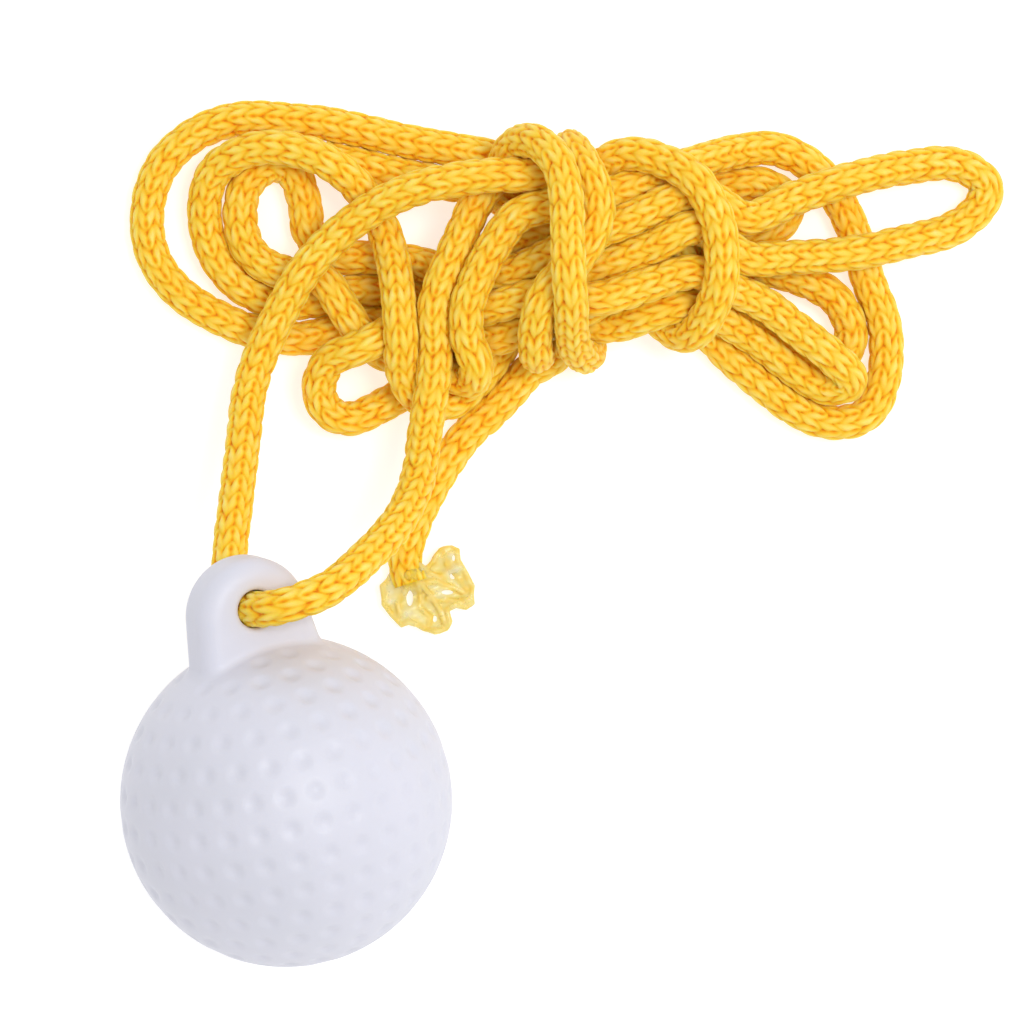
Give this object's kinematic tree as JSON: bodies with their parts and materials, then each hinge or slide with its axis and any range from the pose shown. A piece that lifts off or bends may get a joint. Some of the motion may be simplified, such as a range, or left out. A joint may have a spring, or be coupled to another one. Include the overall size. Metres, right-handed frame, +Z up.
{
  "type": "tether ball with knitted cord",
  "caption": "Dimpled hollow plastic ball with a moulded lug, on a thick knitted cord looped through the lug and tied up in a hank.",
  "frame": {"origin": "On the surface that the set lies on, straight under the middle of the ball.", "axes": "+Z up from the surface; +Y towards the lug side and the hank, as the set is seen from above; +X to the right along the hank's bundle."},
  "size_m": [0.1339, 0.1319, 0.05],
  "materials": {
    "ball_plastic": "matte moulded, fine orange-peel, faintly bluish white",
    "knitted_cord": "coarse knitted, golden yellow, lighter on the raised stitches",
    "melted_cord": "melted and set again, pale, waxy and slightly translucent"
  },
  "bodies": {
    "cord": {"tether_strands": "knitted_cord", "free_tail": "knitted_cord", "melted_end": "melted_cord", "bundle": "knitted_cord", "tangle": "knitted_cord", "turn_left": "knitted_cord", "turn_middle": "knitted_cord", "turn_right": "knitted_cord", "outer_loop": "knitted_cord", "inner_loop": "knitted_cord", "core_loop": "knitted_cord", "small_loop": "knitted_cord", "long_loop": "knitted_cord", "low_loop": "knitted_cord", "fold_loop": "knitted_cord", "short_loop": "knitted_cord"},
    "ball": {"ball_lug_shell": "ball_plastic", "ball_base_shell": "ball_plastic"}
  },
  "joints": [
    {"name": "ball_swing", "type": "hinge", "parent": "cord", "child": "ball", "pos_m": [-0.00601, 0.02954, 0.03224], "axis": [0.4563, -0.1231, 0.8813], "range_deg": [-90, 20]}
  ]
}
